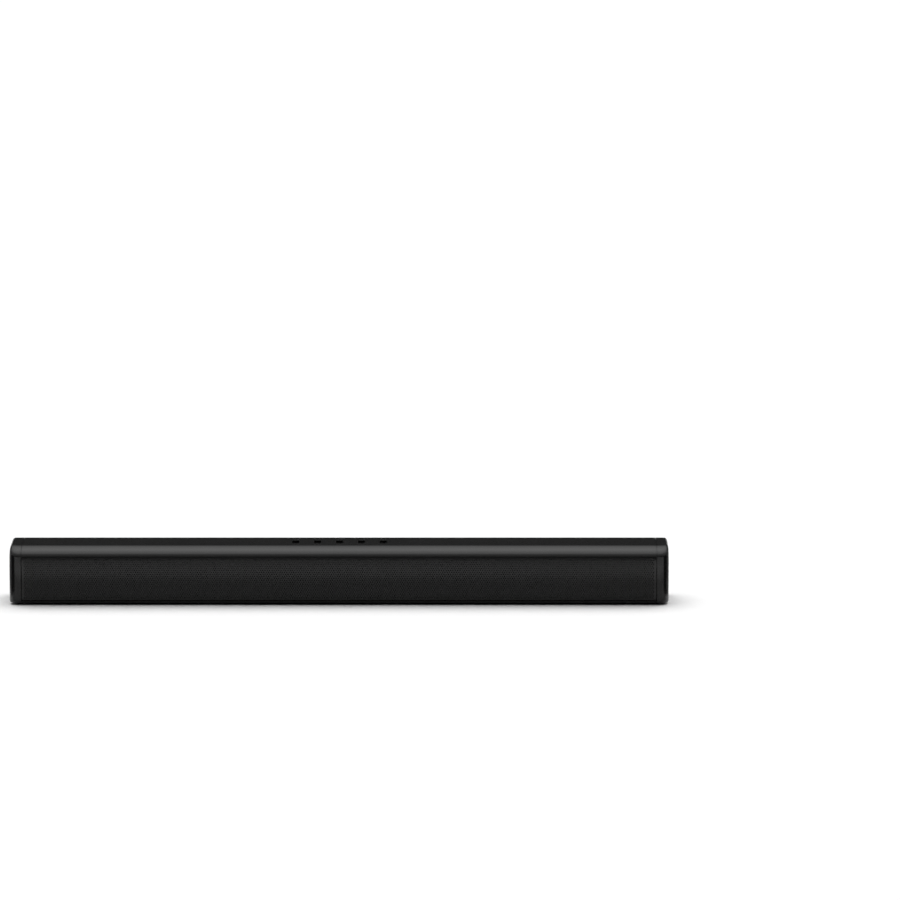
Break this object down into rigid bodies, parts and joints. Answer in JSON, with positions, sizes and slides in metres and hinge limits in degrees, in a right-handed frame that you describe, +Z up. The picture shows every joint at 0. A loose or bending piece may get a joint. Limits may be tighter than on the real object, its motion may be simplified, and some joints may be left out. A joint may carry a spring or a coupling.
{
  "type": "soundbar",
  "caption": "Long low soundbar with a perforated steel front, a long rounded front edge, raised round push buttons on a flat top, rounded end caps, rubber feet and a rear socket bay.",
  "frame": {"origin": "under the middle of the bar, on the surface it stands on", "axes": "+X along the bar to the right seen from the front, +Y to the rear (the grille faces -Y), +Z up"},
  "size_m": [0.72, 0.087, 0.0655],
  "materials": {
    "cover_satin": "fine-textured satin black ABS",
    "case_black": "textured black ABS",
    "grille_steel": "black powder-coated perforated steel",
    "scrim": "black acoustic cloth",
    "button_gloss": "gloss black",
    "rubber": "moulded black rubber",
    "circuit_board": "green solder mask with fitted components",
    "socket_steel": "plated steel",
    "black_steel": "black zinc or powder coat",
    "aluminium": "extruded, bare",
    "brass": "knurled",
    "ferrite": "ground ferrite",
    "paper": "black pulp",
    "spider_cloth": "resin-dipped cotton",
    "coil": "enamelled copper wire on a former",
    "clear": "clear polycarbonate",
    "lead": "PVC-covered flexible wire",
    "ribbon": "flat flexible cable",
    "label": "silver printed polyester"
  },
  "bodies": {
    "cabinet": {"top_cover": "cover_satin", "end_cap_left": "cover_satin", "end_cap_right": "cover_satin", "front_grille": "grille_steel", "grille_scrim": "scrim", "front_baffle": "case_black", "bottom_case": "case_black", "socket_bay": "case_black", "optical_socket": "case_black", "dc_power_socket": "case_black", "usb_socket": "socket_steel", "hdmi_socket": "socket_steel", "main_board": "circuit_board", "wireless_module": "circuit_board", "button_board": "circuit_board", "light_board": "circuit_board", "heat_sink": "aluminium", "button_cable": "ribbon", "status_light_guide": "clear", "rating_label": "label", "foot_front_left": "rubber", "foot_rear_left": "rubber", "foot_front_right": "rubber", "foot_rear_right": "rubber", "case_screw_front_left": "black_steel", "case_screw_rear_left": "black_steel", "case_screw_mid_left": "black_steel", "case_screw_mid_right": "black_steel", "case_screw_front_right": "black_steel", "case_screw_rear_right": "black_steel", "wall_insert_left": "brass", "speaker_lead_left": "lead", "basket_left": "black_steel", "gasket_left": "rubber", "surround_left": "rubber", "spider_left": "spider_cloth", "top_plate_left": "socket_steel", "yoke_left": "socket_steel", "magnet_left": "ferrite", "wall_insert_right": "brass", "speaker_lead_right": "lead", "basket_right": "black_steel", "gasket_right": "rubber", "surround_right": "rubber", "spider_right": "spider_cloth", "top_plate_right": "socket_steel", "yoke_right": "socket_steel", "magnet_right": "ferrite"},
    "left_cone_assembly": {"cone_left": "paper", "voice_coil_left": "coil", "dust_cap_left": "paper"},
    "right_cone_assembly": {"cone_right": "paper", "voice_coil_right": "coil", "dust_cap_right": "paper"},
    "power_key": {"power_button": "button_gloss"},
    "source_key": {"source_button": "button_gloss"},
    "volume_down_key": {"volume_down_button": "button_gloss"},
    "volume_up_key": {"volume_up_button": "button_gloss"},
    "pairing_key": {"pairing_button": "button_gloss"},
    "optical_flap": {"optical_shutter": "case_black"}
  },
  "joints": [
    {"name": "power_press", "type": "slide", "parent": "cabinet", "child": "power_key", "axis": [0, 0, -1], "range_m": [0, 0.0006], "stiffness_N_per_m": 3500, "springref_m": -0.0002},
    {"name": "source_press", "type": "slide", "parent": "cabinet", "child": "source_key", "axis": [0, 0, -1], "range_m": [0, 0.0006], "stiffness_N_per_m": 3500, "springref_m": -0.0002},
    {"name": "volume_down_press", "type": "slide", "parent": "cabinet", "child": "volume_down_key", "axis": [0, 0, -1], "range_m": [0, 0.0006], "stiffness_N_per_m": 3500, "springref_m": -0.0002},
    {"name": "volume_up_press", "type": "slide", "parent": "cabinet", "child": "volume_up_key", "axis": [0, 0, -1], "range_m": [0, 0.0006], "stiffness_N_per_m": 3500, "springref_m": -0.0002},
    {"name": "pairing_press", "type": "slide", "parent": "cabinet", "child": "pairing_key", "axis": [0, 0, -1], "range_m": [0, 0.0006], "stiffness_N_per_m": 3500, "springref_m": -0.0002},
    {"name": "left_cone_travel", "type": "slide", "parent": "cabinet", "child": "left_cone_assembly", "axis": [0, -1, 0], "range_m": [-0.001, 0.001], "stiffness_N_per_m": 2000, "deforming": ["surround_left", "spider_left"]},
    {"name": "right_cone_travel", "type": "slide", "parent": "cabinet", "child": "right_cone_assembly", "axis": [0, -1, 0], "range_m": [-0.001, 0.001], "stiffness_N_per_m": 2000, "deforming": ["surround_right", "spider_right"]},
    {"name": "optical_flap_hinge", "type": "hinge", "parent": "cabinet", "child": "optical_flap", "pos_m": [-0.054, 0.025, 0.025], "axis": [-1, 0, 0], "range_deg": [0, 85], "stiffness_Nm_per_rad": 0.002, "springref_deg": -11.46}
  ]
}
